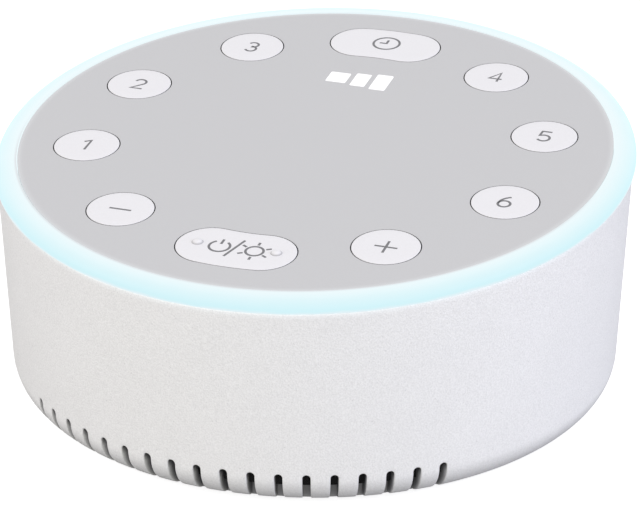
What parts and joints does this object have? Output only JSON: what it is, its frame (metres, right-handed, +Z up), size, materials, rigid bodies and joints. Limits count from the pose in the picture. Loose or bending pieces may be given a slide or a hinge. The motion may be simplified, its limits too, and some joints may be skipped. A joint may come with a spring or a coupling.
{
  "type": "white noise sound machine",
  "caption": "Round table-top sound machine: white leaning case, gray sloping face with a circle of push keys, glowing light ring, slotted lower front and a loudspeaker inside.",
  "frame": {"origin": "on the table, under the middle of the case", "axes": "+Z up, the front with the slots and the low side of the face towards -Y, the power inlet towards +Y"},
  "size_m": [0.115, 0.1145, 0.0506],
  "materials": {
    "white_shell": "satin, fine speckle",
    "base_plastic": "satin",
    "gray_face": "smooth matte",
    "key_white": "smooth satin",
    "ring_glow": "frosted translucent, lit",
    "lens_white": "frosted translucent, lit",
    "reflector_white": "gloss",
    "inner_gray": "matte",
    "switch_plastic": "matte",
    "board_green": "solder mask",
    "chip_black": "moulded epoxy",
    "led_white": "clear epoxy",
    "screw_steel": "zinc plated",
    "foot_rubber": "matte",
    "black_cloth": "fine weave",
    "foam_black": "closed foam",
    "basket_steel": "black paint",
    "plate_steel": "plated",
    "magnet_gray": "sintered ferrite",
    "cone_paper": "pressed paper",
    "coil_copper": "lacquered wire",
    "roll_rubber": "soft",
    "spider_cloth": "resin cloth",
    "contact_metal": "plated",
    "lead_jacket": "soft vinyl",
    "cap_sleeve": "shrunk sleeve",
    "socket_ivory": "nylon",
    "flat_white": "film"
  },
  "bodies": {
    "case": {"housing": "white_shell", "base_cover": "base_plastic", "light_ring": "ring_glow", "ring_reflector": "reflector_white", "face_plate": "gray_face", "level_lens": "lens_white", "level_light_box": "reflector_white", "key_frame": "inner_gray", "switch_bodies": "switch_plastic", "control_board": "board_green", "control_chips": "chip_black", "ring_leds": "led_white", "level_leds": "led_white", "face_screws": "screw_steel", "base_screws": "screw_steel", "rubber_feet": "foot_rubber", "slot_cloth": "black_cloth", "speaker_baffle": "inner_gray", "speaker_gasket": "foam_black", "speaker_basket": "basket_steel", "speaker_top_plate": "plate_steel", "speaker_magnet": "magnet_gray", "speaker_yoke": "plate_steel", "speaker_surround": "roll_rubber", "speaker_spider": "spider_cloth", "speaker_terminals": "contact_metal", "speaker_screws": "screw_steel", "speaker_leads": "lead_jacket", "main_board": "board_green", "main_board_screws": "screw_steel", "main_chips": "chip_black", "capacitors": "cap_sleeve", "board_connectors": "socket_ivory", "flat_cable": "flat_white", "dc_jack": "switch_plastic", "dc_jack_pin": "contact_metal"},
    "key_power_light": {"key_power_light": "key_white", "plunger_power_light": "switch_plastic"},
    "key_timer": {"key_timer": "key_white", "plunger_timer": "switch_plastic"},
    "key_volume_up": {"key_volume_up": "key_white", "plunger_volume_up": "switch_plastic"},
    "key_volume_down": {"key_volume_down": "key_white", "plunger_volume_down": "switch_plastic"},
    "key_sound_1": {"key_sound_1": "key_white", "plunger_sound_1": "switch_plastic"},
    "key_sound_2": {"key_sound_2": "key_white", "plunger_sound_2": "switch_plastic"},
    "key_sound_3": {"key_sound_3": "key_white", "plunger_sound_3": "switch_plastic"},
    "key_sound_4": {"key_sound_4": "key_white", "plunger_sound_4": "switch_plastic"},
    "key_sound_5": {"key_sound_5": "key_white", "plunger_sound_5": "switch_plastic"},
    "key_sound_6": {"key_sound_6": "key_white", "plunger_sound_6": "switch_plastic"},
    "cone": {"speaker_cone": "cone_paper", "speaker_dust_cap": "cone_paper", "voice_coil": "coil_copper"}
  },
  "joints": [
    {"name": "key_power_light_press", "type": "slide", "parent": "case", "child": "key_power_light", "axis": [0, 0.0918, -0.9958], "range_m": [0, 0.0005], "stiffness_N_per_m": 800, "springref_m": -0.0006},
    {"name": "key_timer_press", "type": "slide", "parent": "case", "child": "key_timer", "axis": [0, 0.0918, -0.9958], "range_m": [0, 0.0005], "stiffness_N_per_m": 800, "springref_m": -0.0006},
    {"name": "key_volume_up_press", "type": "slide", "parent": "case", "child": "key_volume_up", "axis": [0, 0.0918, -0.9958], "range_m": [0, 0.0005], "stiffness_N_per_m": 800, "springref_m": -0.0006},
    {"name": "key_volume_down_press", "type": "slide", "parent": "case", "child": "key_volume_down", "axis": [0, 0.0918, -0.9958], "range_m": [0, 0.0005], "stiffness_N_per_m": 800, "springref_m": -0.0006},
    {"name": "key_sound_1_press", "type": "slide", "parent": "case", "child": "key_sound_1", "axis": [0, 0.0918, -0.9958], "range_m": [0, 0.0005], "stiffness_N_per_m": 800, "springref_m": -0.0006},
    {"name": "key_sound_2_press", "type": "slide", "parent": "case", "child": "key_sound_2", "axis": [0, 0.0918, -0.9958], "range_m": [0, 0.0005], "stiffness_N_per_m": 800, "springref_m": -0.0006},
    {"name": "key_sound_3_press", "type": "slide", "parent": "case", "child": "key_sound_3", "axis": [0, 0.0918, -0.9958], "range_m": [0, 0.0005], "stiffness_N_per_m": 800, "springref_m": -0.0006},
    {"name": "key_sound_4_press", "type": "slide", "parent": "case", "child": "key_sound_4", "axis": [0, 0.0918, -0.9958], "range_m": [0, 0.0005], "stiffness_N_per_m": 800, "springref_m": -0.0006},
    {"name": "key_sound_5_press", "type": "slide", "parent": "case", "child": "key_sound_5", "axis": [0, 0.0918, -0.9958], "range_m": [0, 0.0005], "stiffness_N_per_m": 800, "springref_m": -0.0006},
    {"name": "key_sound_6_press", "type": "slide", "parent": "case", "child": "key_sound_6", "axis": [0, 0.0918, -0.9958], "range_m": [0, 0.0005], "stiffness_N_per_m": 800, "springref_m": -0.0006},
    {"name": "cone_travel", "type": "slide", "parent": "case", "child": "cone", "axis": [0, 0, -1], "range_m": [-0.0008, 0.0008], "stiffness_N_per_m": 1200, "deforming": ["speaker_surround", "speaker_spider"]}
  ]
}
